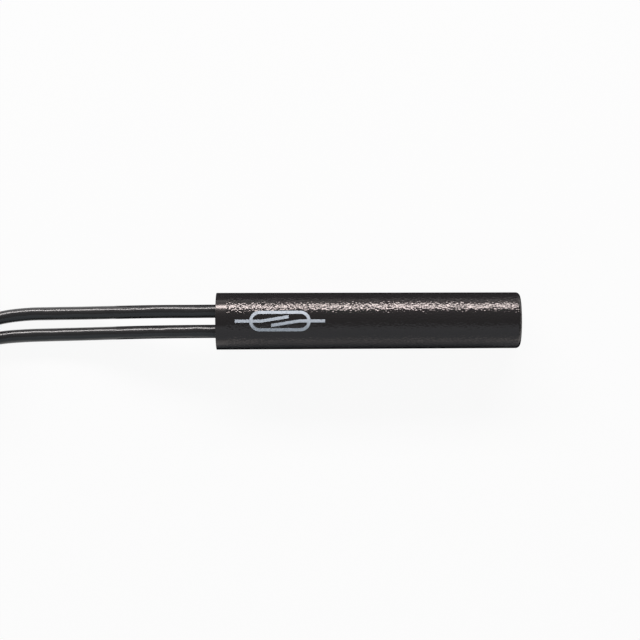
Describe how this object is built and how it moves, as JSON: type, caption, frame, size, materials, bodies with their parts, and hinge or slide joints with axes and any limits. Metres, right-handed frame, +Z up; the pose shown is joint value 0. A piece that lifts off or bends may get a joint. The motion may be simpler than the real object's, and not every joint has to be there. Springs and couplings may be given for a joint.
{
  "type": "reed sensor",
  "caption": "Slim cylindrical reed sensor: a moulded tube, closed at its sensing end, potted round a glass reed switch, with insulated leads out of the other end.",
  "frame": {"origin": "bottom centre of the housing, which lies on its side", "axes": "+X along the housing's axis, from the leads to the closed sensing end; +Y across it, from the far lead to the near lead; +Z up"},
  "size_m": [0.1029, 0.0137, 0.0073],
  "materials": {
    "housing_plastic": "satin",
    "epoxy": "satin",
    "glass": "gloss",
    "nickel_iron": "satin",
    "solder": "satin",
    "tinned_copper": "satin",
    "insulation": "satin",
    "tie_nylon": "satin"
  },
  "bodies": {
    "sensor": {"housing": "housing_plastic", "potting_compound": "epoxy", "glass_capsule": "glass", "near_core": "tinned_copper", "far_core": "tinned_copper", "near_solder_joint": "solder", "far_solder_joint": "solder", "near_lead": "insulation", "far_lead": "insulation", "lead_hank": "insulation", "hank_tie": "tie_nylon", "near_lead_end": "insulation", "far_lead_end": "insulation", "near_tinned_end": "tinned_copper", "far_tinned_end": "tinned_copper"},
    "near_reed": {"reed_near": "nickel_iron"},
    "far_reed": {"reed_far": "nickel_iron"}
  },
  "joints": [
    {"name": "near_reed_flex", "type": "hinge", "parent": "sensor", "child": "near_reed", "pos_m": [-0.0027, 0.00098, 0.0027], "axis": [0, 0, -1], "range_deg": [0, 0.3], "stiffness_Nm_per_rad": 0.1},
    {"name": "far_reed_flex", "type": "hinge", "parent": "sensor", "child": "far_reed", "pos_m": [0.0077, 0.00098, 0.0027], "axis": [0, 0, -1], "range_deg": [0, 0.3]}
  ],
  "couplings": [
    {"joint": "far_reed_flex", "follows": "near_reed_flex", "ratio": 1}
  ]
}
